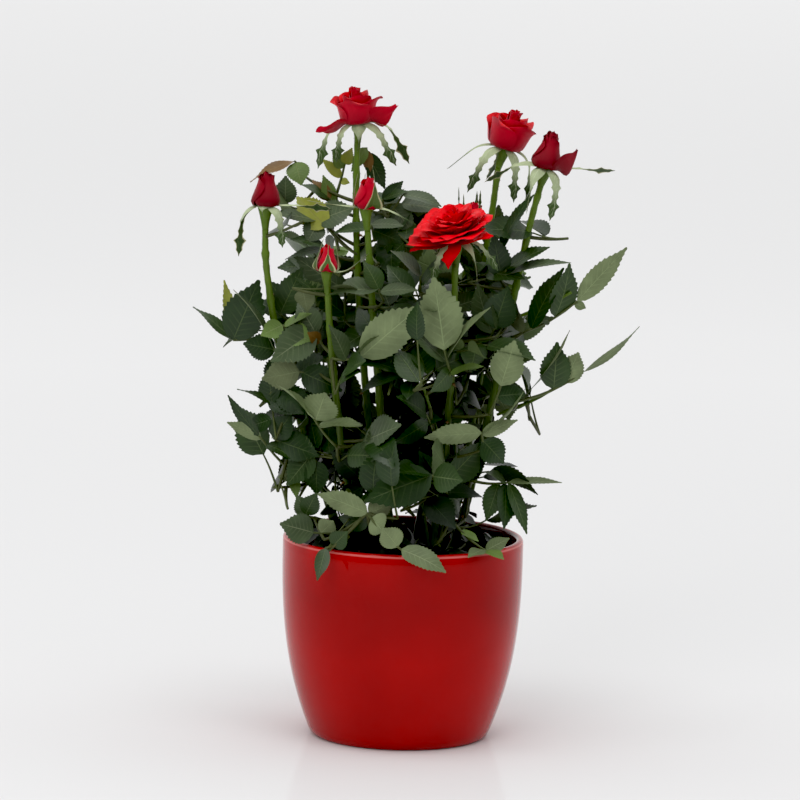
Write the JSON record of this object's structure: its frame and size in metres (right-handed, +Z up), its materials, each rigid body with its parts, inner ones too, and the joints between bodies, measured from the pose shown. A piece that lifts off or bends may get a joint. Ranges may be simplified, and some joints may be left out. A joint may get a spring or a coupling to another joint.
{
  "type": "potted rose bush",
  "caption": "Miniature rose bush in a round glazed cover pot: slender canes with compound leaves, open blooms and buds on long stems above the crown.",
  "frame": {"origin": "centre of the cover pot's flat underside, which stands on the floor", "axes": "+Z up along the pot's axis; the side seen in front faces -Y; +X to the right"},
  "size_m": [0.251, 0.177, 0.3658],
  "materials": {
    "glaze": "gloss",
    "plastic": "satin",
    "peat": "matte",
    "cane": "satin",
    "leaf": "satin",
    "petal": "satin"
  },
  "bodies": {
    "root": {"bloom_far_right": "petal", "bloom_open": "petal", "bloom_right": "petal", "bloom_top": "petal", "bough_back": "cane", "bough_back_low": "cane", "bough_front": "cane", "bough_front_low": "cane", "bough_right_high": "cane", "bough_right_mid": "cane", "bough_rim_front": "cane", "bough_rim_left": "cane", "bud_back": "petal", "bud_centre": "petal", "bud_front": "petal", "bud_left": "petal", "cane_back": "cane", "cane_back_left": "cane", "cane_back_right": "cane", "cane_centre": "cane", "cane_far_right": "cane", "cane_front_left": "cane", "cane_left": "cane", "cane_open": "cane", "cane_right": "cane", "cane_top": "cane", "foliage_back": "leaf", "foliage_back_left": "leaf", "foliage_back_left_low": "leaf", "foliage_back_low": "leaf", "foliage_back_right": "leaf", "foliage_back_right_low": "leaf", "foliage_centre": "leaf", "foliage_front": "leaf", "foliage_front_low": "leaf", "foliage_left": "leaf", "foliage_left_low": "leaf", "foliage_right": "leaf", "foliage_right_low": "leaf", "foliage_rim_front": "leaf", "foliage_rim_left": "leaf", "foliage_skirt": "leaf", "foliage_spray_high": "leaf", "foliage_spray_mid": "leaf", "foliage_top_centre": "leaf", "foliage_top_left": "leaf", "foliage_top_right": "leaf", "grower_pot": "plastic", "peat": "peat", "pot": "glaze"}
  },
  "joints": []
}
